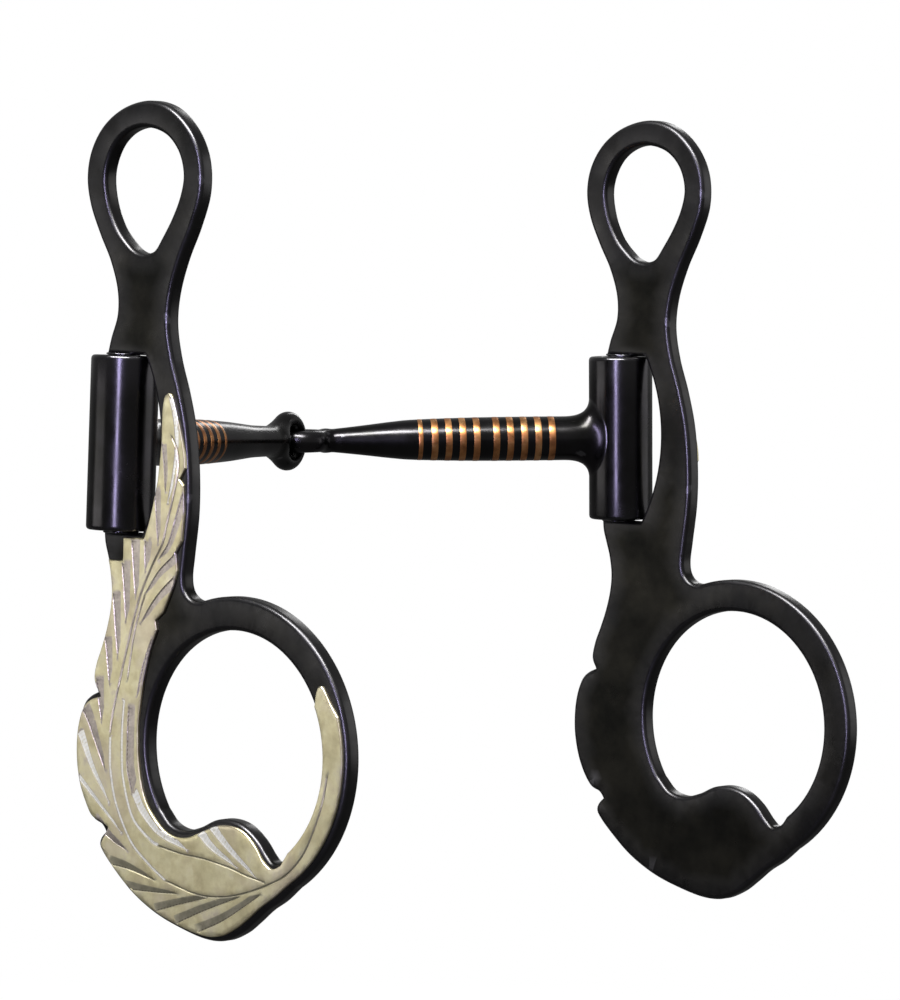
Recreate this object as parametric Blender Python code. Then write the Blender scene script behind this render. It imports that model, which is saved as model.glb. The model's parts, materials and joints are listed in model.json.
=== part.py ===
"""Western show bit: two loose-cheek curb shanks on a jointed mouthpiece with copper inlay.

Frame: metres, +Z up, +X from the left cheek to the right cheek, +Y towards the horse's nose.
The origin is the crown of the left headstall eye, where the strap that carries the bit bears.

Each cheek is a flat steel plate, drawn in its own plane as (back, up) millimetres measured from
the point where its bar crosses the mouthpiece axis. A bar closes the plate's D-shaped window at
the front. A sleeve turns on the bar and carries one half of the mouthpiece. The halves meet in
two linked eyes, the left one upright and the right one level.
"""

import math

import bmesh
import bpy
import numpy as np
from mathutils import Matrix, Vector

MM = 0.001
GAP = 0.3                  # space left between pieces that touch

# Layout of the mouthpiece, in millimetres
BAR_SPACING = (122.8, 28.7)   # right bar from the left bar: to the right, and back
EYE_CROWN = (6.2, 62.5)       # left headstall eye's crown, back and up from the bar's middle

# Cheek plate
PLATE_T = 3.8
PLATE_EDGE = 0.9           # chamfer of the plate's long edges
RING_CENTRE = (33.2, -58.5)
RING_OUTER = 30.1
RING_INNER = 23.5
WINDOW_HALF = 17.9         # half the height of the D-shaped window
WINDOW_BACK = 11.9         # its deepest point behind the bar's axis
WINDOW_ENDS = 7.2          # its depth at the two ends

# Bar, sleeve and overlay
BAR_R = 3.2
SLEEVE_R = 6.8
SLEEVE_BORE = 3.9          # loose enough on the bar for the mouthpiece to sag
SLEEVE_HALF = 17.4
SLEEVE_ROUND = 0.9
OVERLAY_T = 0.7
OVERLAY_MARGIN = 0.5       # black edge of the plate left bare beside the overlay

# Mouthpiece half
EYE_R = 4.5                # centre line of the eye's wire
EYE_WIRE = 1.75
EYE_AT = 68.9              # bar's axis to the middle of the eye
SAG = 1.9                  # the joint's middle hangs this far below the bars' middles
ARM_SHAPE = {              # distance from the bar's axis, radius
    "left": ((10.8, 4.7), (22.0, 4.7), (29.0, 4.62), (35.3, 4.42), (40.9, 4.18), (44.3, 3.98),
             (48.5, 3.68), (52.5, 3.4), (56.5, 3.28), (61.0, 3.2), (65.0, 3.1)),
    "right": ((10.8, 4.7), (22.0, 4.7), (33.0, 4.62), (44.6, 4.3), (49.5, 3.9), (55.0, 3.25),
              (59.5, 2.75), (63.0, 2.4), (65.6, 2.2)),
}
FOOT_FILLET = 4.0          # concave flare where the arm meets the sleeve
FOOT_WIDTH = 5.7           # half width of the flare across the sleeve
INLAY_LAST = {"left": 34.3, "right": 43.6}   # copper ring nearest the joint, from the bar's axis
INLAY_COUNT = {"left": 7, "right": 10}
INLAY_GROUP = 5            # rings in the group nearest the joint
INLAY_PITCH = 3.0
INLAY_BREAK = 1.2          # extra space between the two groups
INLAY_WIDTH = 1.5
INLAY_LAST_WIDTH = 1.0
INLAY_DEPTH = 0.7

ROUND = 20                 # sides of the turned pieces


# ---------------------------------------------------------------- outlines

def arc(centre, radius, start, end, count):
    """Points along an arc, angles in degrees counted from 'back' towards 'up'."""
    angles = np.radians(np.linspace(start, end, count))
    return [(centre[0] + radius * math.cos(a), centre[1] + radius * math.sin(a)) for a in angles]


def spline(points, pieces):
    """A Catmull-Rom curve through the points, each span cut into the given number of pieces."""
    ends = [np.array(p, float) for p in points]
    before = [2 * ends[0] - ends[1]] + ends
    padded = before + [2 * ends[-1] - ends[-2]]
    curve = []
    for a, b, c, d in zip(padded, padded[1:], padded[2:], padded[3:]):
        for t in np.linspace(0, 1, pieces, endpoint=False):
            point = 0.5 * (2 * b + (c - a) * t + (2 * a - 5 * b + 4 * c - d) * t ** 2
                           + (3 * b - a - 3 * c + d) * t ** 3)
            curve.append(tuple(point))
    curve.append(tuple(ends[-1]))
    return curve


def closed(*stretches):
    """Join stretches end to end into one loop, dropping points that repeat."""
    loop = []
    for stretch in stretches:
        for point in stretch:
            if not loop or math.dist(point, loop[-1]) > 0.05:
                loop.append(point)
    if math.dist(loop[0], loop[-1]) < 0.05:
        loop.pop()
    return loop


def counter_clockwise(loop):
    """The same loop, with its inside on the left of the direction of travel."""
    turned = zip(loop, loop[1:] + loop[:1])
    area = sum(a[0] * b[1] - b[0] * a[1] for a, b in turned)
    return loop if area > 0 else loop[::-1]


def window_curve():
    """The D-shaped window's back, from its lower end to its upper end."""
    rise = WINDOW_BACK - WINDOW_ENDS
    radius = (WINDOW_HALF ** 2 + rise ** 2) / (2 * rise)
    half_angle = math.degrees(math.asin(WINDOW_HALF / radius))
    return arc((WINDOW_BACK - radius, 0), radius, -half_angle, half_angle, 17)


def cheek_outline():
    """The plate's outer edge, from the window's top over the eye and round the rein ring."""
    front_and_eye = spline([
        (-3.3, WINDOW_HALF), (-2.4, 20.9), (-0.8, 25.5), (-1.0, 30.5), (-3.0, 36.0), (-6.0, 41.2),
        (-8.8, 47.0), (-9.9, 52.6), (-8.8, 58.1), (-5.4, 63.0), (0.0, 66.4), (6.8, 67.8),
        (13.2, 66.3), (18.4, 62.0), (21.3, 56.4), (21.6, 49.8), (19.3, 43.1), (16.2, 36.7),
        (14.0, 30.2), (13.4, 24.0), (14.7, 17.4), (17.1, 10.6), (19.1, 3.2), (20.1, -5.0),
        (20.2, -13.0), (19.3, -21.0), (18.8, -25.6), (19.5, -28.3), (21.6, -29.8), (24.0, -29.9),
    ], 2)
    ring = arc(RING_CENTRE, RING_OUTER, 107, -56, 32)
    swirl = spline([
        (50.0, -83.4), (46.2, -86.6), (42.6, -88.9), (39.3, -91.6), (35.9, -94.1), (31.5, -96.0),
        (26.5, -96.2), (20.0, -94.9), (13.0, -92.7), (6.5, -89.3), (1.0, -84.9), (-2.2, -81.7),
        (-2.9, -80.1), (-2.3, -78.7), (-1.2, -77.7),
    ], 2)
    lower_leaf = spline([
        (-1.2, -77.7), (-2.4, -76.4), (-4.7, -75.4), (-6.9, -72.5), (-8.6, -68.6), (-9.6, -64.0),
        (-9.7, -59.5), (-9.1, -55.6), (-7.8, -52.4), (-6.2, -50.9), (-4.1, -49.9),
    ], 2)
    upper_leaf = spline([
        (-4.1, -49.9), (-4.9, -48.6), (-5.2, -47.0), (-4.5, -44.0), (-3.2, -40.8), (-1.9, -37.2),
        (-0.9, -33.2), (-0.6, -29.4), (-1.2, -25.6), (-2.2, -22.5), (-3.0, -20.0),
        (-3.3, -WINDOW_HALF),
    ], 2)
    return closed(front_and_eye, ring, swirl, lower_leaf, upper_leaf, window_curve())


def eye_hole():
    """Teardrop opening for the headstall strap."""
    return closed(spline([
        (6.9, 37.6), (9.2, 38.4), (11.2, 41.0), (13.8, 45.0), (15.8, 49.3), (16.5, 53.5),
        (15.0, 57.9), (11.4, 61.2), EYE_CROWN, (1.4, 61.5), (-2.4, 58.4), (-4.4, 53.3),
        (-3.6, 47.7), (-1.2, 42.8), (2.2, 39.4), (4.6, 38.0), (6.9, 37.6),
    ], 2))


def ring_hole():
    """Rein ring's opening, with the leaf's bump rising into its floor."""
    round_part = arc(RING_CENTRE, RING_INNER, -52, 214, 40)
    floor = spline([
        (13.7, -71.6), (16.6, -74.3), (20.4, -75.3), (24.6, -74.3), (28.6, -72.5), (32.6, -72.0),
        (36.6, -72.9), (40.0, -75.2), (42.6, -78.0), (44.4, -79.3), (46.3, -78.8), (47.6, -77.2),
    ], 2)
    return closed(round_part, floor)


def overlay_outline():
    """The feather: a rounded tip beside the window, down the shank and up inside the ring."""
    m = OVERLAY_MARGIN
    tip = spline([
        (12.0, -7.0), (12.8, 0.0), (12.9, 5.6), (13.3, 9.3), (14.4, 10.4), (15.6, 9.8),
        (17.0, 6.2), (18.2, 2.6), (19.2, -1.4), (19.5, -4.0),
    ], 2)
    back_edge = [
        (18.0, -6.3), (19.1, -7.4), (19.4, -13.0), (18.9, -18.4), (17.4, -20.9), (17.9, -24.3),
        (17.0, -27.2), (14.2, -32.9), (12.2, -34.5), (12.6, -36.3),
    ]
    beside_hole = spline([
        (12.6, -36.3), (10.5, -41.5), (8.9, -48.4), (8.0, -56.0), (8.5, -64.0), (10.5, -70.4),
        (14.4, -74.9), (18.0, -76.6), (22.0, -76.5), (26.0, -74.9), (30.0, -73.4), (34.0, -73.1),
        (37.4, -74.1), (40.2, -76.4), (42.4, -79.2), (44.6, -80.4), (46.8, -79.5),
    ], 2)
    inner_arc = arc(RING_CENTRE, RING_INNER + m, -50, 26, 20)
    ring_tip = [(55.1, -45.6), (55.7, -44.2), (56.6, -43.9), (57.6, -45.0), (59.2, -47.4)]
    outer_arc = arc(RING_CENTRE, RING_OUTER - 2 * m, 18, -55, 20)
    swirl = spline([
        (48.6, -83.3), (45.4, -85.8), (41.8, -88.2), (38.6, -90.8), (35.4, -93.1), (31.3, -95.0),
        (26.5, -95.4), (20.2, -94.2), (13.3, -92.0), (7.0, -88.7), (1.6, -84.4), (-1.2, -81.4),
        (-1.7, -80.0), (-0.6, -78.1), (0.2, -76.6),
    ], 2)
    lower_leaf = spline([
        (0.2, -76.6), (-2.2, -75.6), (-4.5, -74.7), (-6.3, -72.1), (-8.0, -68.4), (-8.9, -64.0),
        (-9.0, -59.5), (-8.4, -55.9), (-7.2, -53.1), (-5.4, -51.6), (-2.6, -50.7),
    ], 2)
    upper_leaf = spline([
        (-2.6, -50.7), (-3.9, -48.6), (-4.4, -46.9), (-3.9, -44.2), (-2.6, -41.0), (-1.3, -37.3),
        (-0.3, -33.2), (0.0, -29.4), (-0.5, -25.6), (-1.1, -23.2),
    ], 2)
    step = [(2.9, -23.2), (2.9, -18.5), (8.6, -18.5)]
    window_edge = spline([(8.6, -18.5), (10.2, -14.0), (12.0, -7.0)], 2)
    return closed(tip, back_edge, beside_hole, inner_arc, ring_tip, outer_arc, swirl,
                  lower_leaf, upper_leaf, step, window_edge)


# ---------------------------------------------------------------- solids

def new_object(name, mesh_data, material, parent):
    """An object of the model, standing at its parent's place."""
    thing = bpy.data.objects.new(name, mesh_data)
    thing.data.materials.append(material)
    thing.parent = parent
    bpy.context.scene.collection.objects.link(thing)
    return thing


def finish_mesh(bm, name, smooth_angle=35):
    """Turn a bmesh into mesh data, outside faces out and round sides shaded smooth."""
    bmesh.ops.remove_doubles(bm, verts=bm.verts, dist=0.00002)
    bmesh.ops.recalc_face_normals(bm, faces=bm.faces)
    mesh = bpy.data.meshes.new(name)
    bm.to_mesh(mesh)
    bm.free()
    mesh.shade_smooth()
    mesh.set_sharp_from_angle(angle=math.radians(smooth_angle))
    return mesh


def inset(loop, distance):
    """The loop moved to its left by a distance, with its corners mitred."""
    points = [Vector(p) for p in loop]
    moved = []
    for before, here, after in zip(points[-1:] + points[:-1], points, points[1:] + points[:1]):
        into = (here - before).normalized()
        out = (after - here).normalized()
        middle = Vector((-into.y - out.y, into.x + out.x))
        reach = distance / max(0.5, middle.length / 2)
        moved.append(here + middle.normalized() * reach)
    return moved


def rounded_plate(name, outer, holes, x_low, x_high, edge):
    """A flat plate across X, cut to the outlines, its long edges chamfered; edge may be 0."""
    loops = [counter_clockwise(outer)] + [counter_clockwise(hole)[::-1] for hole in holes]
    levels = [(x_low, edge), (x_high, edge)]
    if edge:
        levels[1:1] = [(x_low + edge, 0.0), (x_high - edge, 0.0)]
    bm = bmesh.new()
    caps = {x_low: [], x_high: []}
    for loop in loops:
        rings = []
        for x, distance in levels:
            points = inset(loop, distance)
            rings.append([bm.verts.new((x * MM, -p[0] * MM, p[1] * MM)) for p in points])
        for lower, upper in zip(rings, rings[1:]):
            for i in range(len(loop)):
                j = (i + 1) % len(loop)
                bm.faces.new((lower[i], lower[j], upper[j], upper[i]))
        for x, ring in ((x_low, rings[0]), (x_high, rings[-1])):
            caps[x] += [bm.edges.get((a, b)) for a, b in zip(ring, ring[1:] + ring[:1])]
    for x, edges in caps.items():
        side = math.copysign(1, x - (x_low + x_high) / 2)
        bmesh.ops.triangle_fill(bm, use_beauty=True, edges=edges, normal=(side, 0, 0))
    return finish_mesh(bm, name)


def turned(name, profile, sides=ROUND, close=False):
    """A solid turned about Z from (radius, height) points; closed profiles make a tube."""
    bm = bmesh.new()
    rings = []
    for radius, height in profile:
        angles = [2 * math.pi * k / sides for k in range(sides)]
        rings.append([bm.verts.new((radius * math.cos(a) * MM, radius * math.sin(a) * MM,
                                    height * MM)) for a in angles])
    pairs = list(zip(rings, rings[1:]))
    if close:
        pairs.append((rings[-1], rings[0]))
    for lower, upper in pairs:
        for i in range(sides):
            j = (i + 1) % sides
            bm.faces.new((lower[i], lower[j], upper[j], upper[i]))
    if not close:
        bm.faces.new(rings[0][::-1])
        bm.faces.new(rings[-1])
    return finish_mesh(bm, name)


def boolean(target, tool_mesh, tool_matrix, operation, name):
    """Cut a tool from an object, or join it on, as a modifier that reads a hidden guide."""
    tool = bpy.data.objects.new(name, tool_mesh)
    tool.parent = target
    tool.matrix_local = tool_matrix
    tool.hide_render = True
    tool.display_type = "WIRE"
    bpy.context.scene.collection.objects.link(tool)
    modifier = target.modifiers.new(name, "BOOLEAN")
    modifier.operation = operation
    modifier.solver = "EXACT"
    modifier.object = tool


def sleeve_mesh():
    """Tube that turns on the bar, its rims eased outside and inside."""
    r, bore, half, ease = SLEEVE_R, SLEEVE_BORE, SLEEVE_HALF, SLEEVE_ROUND
    soft = ease * (1 - math.sqrt(0.5))
    profile = [
        (bore, 0.4 - half), (bore + 0.4, -half), (r - ease, -half), (r - soft, soft - half),
        (r, ease - half), (r, half - ease), (r - soft, half - soft), (r - ease, half),
        (bore + 0.4, half), (bore, half - 0.4),
    ]
    return turned("sleeve", profile, 28, close=True)


def inlay_stations(side):
    """Distance from the bar's axis and width of each copper ring, from the sleeve inwards."""
    stations = []
    for k in range(INLAY_COUNT[side]):
        extra = INLAY_BREAK if k >= INLAY_GROUP else 0.0
        width = INLAY_WIDTH if k else INLAY_LAST_WIDTH
        stations.append((INLAY_LAST[side] - k * INLAY_PITCH - extra, width))
    return stations[::-1]


def arm_radius(side, distance):
    """The tapering arm's radius at a distance from the bar's axis."""
    places, radii = zip(*ARM_SHAPE[side])
    return float(np.interp(distance, places, radii))


def arm_sections(side):
    """(distance, half width, half height) of the arm's sections, from the foot to the eye."""
    sections = []
    root = ARM_SHAPE[side][0][1]
    for k in range(7):
        turn = math.radians(90 - 15 * k)
        distance = SLEEVE_R + FOOT_FILLET * (1 - math.sin(turn))
        flare = 1 - math.cos(turn)
        sections.append((distance, root + (FOOT_WIDTH - root) * flare, root + FOOT_FILLET * flare))
    sections.insert(0, (SLEEVE_R - 2.5, FOOT_WIDTH, root + FOOT_FILLET))
    floor = INLAY_DEPTH + 0.2
    for distance, width in inlay_stations(side):
        half = width / 2 + 0.15
        for place, depth in ((-half, 0), (-half, floor), (half, floor), (half, 0)):
            radius = arm_radius(side, distance + place) - depth
            sections.append((distance + place, radius, radius))
    last_inlay = sections[-1][0]
    for distance, radius in ARM_SHAPE[side]:
        if distance > last_inlay + 0.9:
            sections.append((distance, radius, radius))
    return sections


def arm_mesh(side):
    """Half of the mouthpiece along +X, from its flared foot to the neck of its eye."""
    bm = bmesh.new()
    rings = []
    for distance, width, height in arm_sections(side):
        ring = []
        for k in range(ROUND):
            angle = 2 * math.pi * k / ROUND
            ring.append(bm.verts.new((distance * MM, width * math.cos(angle) * MM,
                                      height * math.sin(angle) * MM)))
        rings.append(ring)
    for lower, upper in zip(rings, rings[1:]):
        for i in range(ROUND):
            j = (i + 1) % ROUND
            bm.faces.new((lower[i], lower[j], upper[j], upper[i]))
    bm.faces.new(rings[0][::-1])
    bm.faces.new(rings[-1])
    return finish_mesh(bm, "arm")


def eye_mesh():
    """The eye's wire ring, lying level about its own centre."""
    wire = [(EYE_R + EYE_WIRE * math.cos(a), EYE_WIRE * math.sin(a))
            for a in np.linspace(0, 2 * math.pi, 11)[:-1]]
    return turned("eye", wire, 24, close=True)


def inlay_mesh(side, distance, width):
    """One copper ring about Z, its outside following the arm's taper."""
    half = width / 2
    near = arm_radius(side, distance - half)
    far = arm_radius(side, distance + half)
    profile = [(near - INLAY_DEPTH, -half), (near, -half), (far, half), (far - INLAY_DEPTH, half)]
    return turned("inlay", profile, close=True)


# ---------------------------------------------------------------- materials

def material(name, colour, roughness, metallic):
    """A Principled surface of one colour."""
    made = bpy.data.materials.new(name)
    made.use_nodes = True
    shader = made.node_tree.nodes["Principled BSDF"]
    shader.inputs["Base Color"].default_value = (*colour, 1)
    shader.inputs["Roughness"].default_value = roughness
    shader.inputs["Metallic"].default_value = metallic
    return made


# ---------------------------------------------------------------- assembly

def axis_empty(name, place, direction=0.0, lean=0.0):
    """An empty on a joint's vertical axis, its +X turned about Z and then leaning down."""
    empty = bpy.data.objects.new(name, None)
    empty.location = place * MM
    empty.rotation_euler = (0, lean, direction)
    bpy.context.scene.collection.objects.link(empty)
    return empty


def joint_layout():
    """The places of the left bar, the joint and the right bar, in the object's frame.

    The joint's axis is the upright stretch of the left eye's wire, which the level right eye
    turns around, so the left half reaches it with its eye's rim and the right half with little
    more than its eye's middle. The halves sag to it, each leaning on its bar.
    """
    left = Vector((0, EYE_CROWN[0], -EYE_CROWN[1]))
    right = left + Vector((BAR_SPACING[0], -BAR_SPACING[1], 0))
    chord = right - left
    left_reach = math.sqrt((EYE_AT + EYE_R) ** 2 - SAG ** 2)
    right_reach = math.sqrt((EYE_AT + EYE_R - 2 * EYE_WIRE - GAP) ** 2 - SAG ** 2)
    along = (chord.length_squared + left_reach ** 2 - right_reach ** 2) / (2 * chord.length)
    forward = Vector((-chord.y, chord.x, 0)).normalized()
    bow = math.sqrt(left_reach ** 2 - along ** 2)
    joint = left + chord.normalized() * along + forward * bow - Vector((0, 0, SAG))
    return left, joint, right


def build_cheek(side, bar_place, outward, steel, silver):
    """One cheek: plate, bar and overlay. outward is -1 for the left cheek and +1 for the right."""
    axis = axis_empty(side + "_cheek_axis", bar_place)
    half = PLATE_T / 2
    plate = rounded_plate("cheek", cheek_outline(), [eye_hole(), ring_hole()], -half, half,
                          PLATE_EDGE)
    new_object(side + "_cheek", plate, steel, axis)
    length = WINDOW_HALF - GAP
    bar = turned("bar", [(BAR_R - 0.3, -length), (BAR_R, 0.3 - length), (BAR_R, length - 0.3),
                         (BAR_R - 0.3, length)])
    new_object(side + "_bar", bar, steel, axis)
    near = outward * (half + GAP / 2)
    far = near + outward * OVERLAY_T
    overlay = rounded_plate("overlay", overlay_outline(), [], min(near, far), max(near, far), 0)
    new_object(side + "_feather", overlay, silver, axis)


def build_arm(side, bar_place, joint_place, upright, steel, copper):
    """One mouthpiece half: sleeve, arm with its eye, and copper rings."""
    reach = joint_place - bar_place
    axis = axis_empty(side + "_mouth_axis", bar_place, math.atan2(reach.y, reach.x),
                      math.asin(-reach.z / reach.length))
    new_object(side + "_sleeve", sleeve_mesh(), steel, axis)
    arm = new_object(side + "_arm", arm_mesh(side), steel, axis)
    eye_place = Matrix.Translation((EYE_AT * MM, 0, 0))
    if upright:
        eye_place = eye_place @ Matrix.Rotation(math.pi / 2, 4, "X")
    boolean(arm, eye_mesh(), eye_place, "UNION", side + "_eye_guide")
    clearance = turned("clearance", [(SLEEVE_R + GAP, -SLEEVE_HALF), (SLEEVE_R + GAP, SLEEVE_HALF)],
                       40)
    boolean(arm, clearance, Matrix(), "DIFFERENCE", side + "_foot_cutter")
    along = Matrix.Rotation(math.pi / 2, 4, "Y")
    for number, (distance, width) in enumerate(inlay_stations(side), 1):
        ring = new_object(f"{side}_inlay_{number:02d}", inlay_mesh(side, distance, width), copper,
                          axis)
        ring.matrix_local = Matrix.Translation((distance * MM, 0, 0)) @ along


def main():
    for old in list(bpy.data.objects):
        bpy.data.objects.remove(old)
    steel = material("blued_steel", (0.018, 0.018, 0.022), 0.32, 1.0)
    silver = material("german_silver", (0.62, 0.57, 0.42), 0.35, 1.0)
    copper = material("copper", (0.56, 0.24, 0.10), 0.30, 1.0)
    left, joint, right = joint_layout()
    build_cheek("left", left, -1, steel, silver)
    build_cheek("right", right, 1, steel, silver)
    build_arm("left", left, joint, True, steel, copper)
    build_arm("right", right, joint, False, steel, copper)


main()
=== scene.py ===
import json
import math

import bmesh
import bpy
import numpy as np
from mathutils import Matrix, Vector
from mathutils.geometry import delaunay_2d_cdt


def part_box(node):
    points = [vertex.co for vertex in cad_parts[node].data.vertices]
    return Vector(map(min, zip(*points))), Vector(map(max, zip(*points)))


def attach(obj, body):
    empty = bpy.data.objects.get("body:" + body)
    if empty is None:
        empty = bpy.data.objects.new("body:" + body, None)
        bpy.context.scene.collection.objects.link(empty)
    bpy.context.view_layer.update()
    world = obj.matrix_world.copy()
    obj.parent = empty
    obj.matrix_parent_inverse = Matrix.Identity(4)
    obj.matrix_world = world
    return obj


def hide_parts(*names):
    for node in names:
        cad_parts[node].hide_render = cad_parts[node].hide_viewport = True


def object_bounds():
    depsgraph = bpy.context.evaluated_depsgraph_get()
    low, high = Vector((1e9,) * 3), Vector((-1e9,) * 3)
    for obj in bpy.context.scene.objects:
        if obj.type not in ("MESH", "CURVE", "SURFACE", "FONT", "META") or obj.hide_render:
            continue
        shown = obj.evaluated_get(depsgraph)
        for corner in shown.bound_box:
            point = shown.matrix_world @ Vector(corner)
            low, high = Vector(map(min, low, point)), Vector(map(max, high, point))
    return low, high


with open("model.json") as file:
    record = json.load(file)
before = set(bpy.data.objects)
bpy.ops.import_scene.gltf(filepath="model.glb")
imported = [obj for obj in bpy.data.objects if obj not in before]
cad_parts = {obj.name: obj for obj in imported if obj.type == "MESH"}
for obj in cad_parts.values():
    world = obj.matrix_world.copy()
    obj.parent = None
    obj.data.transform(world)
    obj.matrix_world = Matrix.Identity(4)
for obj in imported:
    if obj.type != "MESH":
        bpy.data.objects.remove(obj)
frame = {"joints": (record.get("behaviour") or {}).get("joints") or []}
CAD_BOX = [[float(v) for v in corner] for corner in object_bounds()]

MM = 0.001

# Cheek plate, in millimetres (back, up) from the point where its bar crosses the mouth axis
PLATE_T = 3.8
PLATE_ROUND = 1.0          # radius of the plate's polished edges
RING_CENTRE = (33.2, -58.5)
RING_OUTER = 30.1
RING_INNER = 23.5
WINDOW_HALF = 17.62        # half the height of the D-shaped window
WINDOW_BACK = 11.9         # its deepest point behind the bar's axis
WINDOW_ENDS = 7.2          # its depth at the two ends
PLATE_FILL = 2.2           # pitch of the points inside the plate's faces
WELD = 0.34                # radius of the weld bead round the bar's ends
WELD_OUT = 0.1             # its middle lies this far beyond the window's end
WELD_FLAT = 0.6            # its height against its width

# Bar, sleeve and overlay
BAR_R = 3.2
SLEEVE_R = 6.8
SLEEVE_BORE = 3.9
SLEEVE_HALF = 17.4
SLEEVE_ROUND = 0.9
BORE_ROUND = 0.4
OVERLAY_T = 0.55           # the overlay's face above the plate
OVERLAY_SUNK = 0.02        # its back lies this far below the plate's face
OVERLAY_ROUND = 0.3
OVERLAY_FILL = 0.8         # pitch of the points inside its face
OVERLAY_MARGIN = 0.5       # black edge of the plate left bare beside the overlay

# Mouthpiece half
EYE_R = 4.5                # centre line of the eye's wire
EYE_WIRE = 1.75
EYE_AT = 68.9              # bar's axis to the middle of the eye
EYE_DEPTH = {"left": 2.0, "right": 2.3}      # half thickness of the eye across its plane
EYE_BLEND = {"left": 3.2, "right": 1.5}      # how far the neck flows into the eye
EYE_VOXEL = 0.27           # size of the eye's faces
ARM_SHAPE = {              # distance from the bar's axis, radius
    "left": ((10.8, 4.7), (22.0, 4.7), (29.0, 4.62), (35.3, 4.42), (40.9, 4.18), (44.3, 3.98),
             (48.5, 3.68), (52.5, 3.4), (56.5, 3.28), (61.0, 3.2), (65.0, 3.1)),
    "right": ((10.8, 4.7), (22.0, 4.7), (33.0, 4.62), (44.6, 4.3), (49.5, 3.9), (55.0, 3.25),
              (59.5, 2.75), (63.0, 2.4), (65.6, 2.2)),
}
NECK_END = {"left": 62.4, "right": 62.6}     # where the neck's round end lies in the eye's wire
FOOT_START = 12.4          # where the arm begins to flare
FOOT_HEIGHT = 8.7          # half height of the flare's rim on the sleeve
FOOT_WRAP = 57.0           # degrees round the sleeve that the rim reaches
FOOT_SUNK = 0.012          # the rim lies this far inside the sleeve's surface
FOOT_SWEEP = 3.2           # length of the flare's handles at its two ends
NECK_SEAM = 60.5           # where the shaft meets its forged eye
INLAY_LAST = {"left": 34.3, "right": 43.6}   # copper ring nearest the joint, from the bar's axis
INLAY_COUNT = {"left": 7, "right": 10}
INLAY_GROUP = 5            # rings in the group nearest the joint
INLAY_PITCH = 3.0
INLAY_BREAK = 1.2          # extra space between the two groups
INLAY_WIDTH = 1.5
INLAY_LAST_WIDTH = 1.0
INLAY_DEPTH = 0.6
INLAY_CROWN = 0.045        # a ring's middle above its edges
INLAY_EDGE = 0.01          # its edges below the arm's surface


# -------- outlines

def arc(centre, radius, start, end, step=0.5):
    """Points along an arc, angles in degrees counted from 'back' towards 'up'."""
    count = max(3, round(abs(math.radians(end - start)) * radius / step) + 1)
    angles = np.radians(np.linspace(start, end, count))
    return [(centre[0] + radius * math.cos(a), centre[1] + radius * math.sin(a)) for a in angles]


def spline(points, step=0.5):
    """A Catmull-Rom curve through the points, cut into stretches of about one step."""
    ends = [np.array(p, float) for p in points]
    padded = [2 * ends[0] - ends[1]] + ends + [2 * ends[-1] - ends[-2]]
    curve = []
    for a, b, c, d in zip(padded, padded[1:], padded[2:], padded[3:]):
        pieces = max(2, round(float(np.linalg.norm(c - b)) / step))
        for t in np.linspace(0, 1, pieces, endpoint=False):
            point = 0.5 * (2 * b + (c - a) * t + (2 * a - 5 * b + 4 * c - d) * t ** 2
                           + (3 * b - a - 3 * c + d) * t ** 3)
            curve.append((float(point[0]), float(point[1])))
    curve.append(tuple(float(v) for v in ends[-1]))
    return curve


def straight(points, step=0.5):
    """The points joined by straight runs, each cut into stretches of about one step."""
    line = []
    for a, b in zip(points, points[1:]):
        pieces = max(1, round(math.dist(a, b) / step))
        line += [(a[0] + (b[0] - a[0]) * k / pieces, a[1] + (b[1] - a[1]) * k / pieces)
                 for k in range(pieces)]
    return line + [points[-1]]


def closed(*stretches, nearest_pair=0.08):
    """Join stretches end to end into one loop, dropping points that repeat."""
    loop = []
    for stretch in stretches:
        for point in stretch:
            if not loop or math.dist(point, loop[-1]) > nearest_pair:
                loop.append(point)
    if math.dist(loop[0], loop[-1]) < nearest_pair:
        loop.pop()
    return loop


def counter_clockwise(loop):
    """The same loop, with its inside on the left of the direction of travel."""
    area = sum(a[0] * b[1] - b[0] * a[1] for a, b in zip(loop, loop[1:] + loop[:1]))
    return loop if area > 0 else loop[::-1]


def window_curve():
    """The window's curved edge, from its lower end to its upper end."""
    rise = WINDOW_BACK - WINDOW_ENDS
    radius = (WINDOW_HALF ** 2 + rise ** 2) / (2 * rise)
    half_angle = math.degrees(math.asin(WINDOW_HALF / radius))
    return arc((WINDOW_BACK - radius, 0), radius, -half_angle, half_angle)


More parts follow.
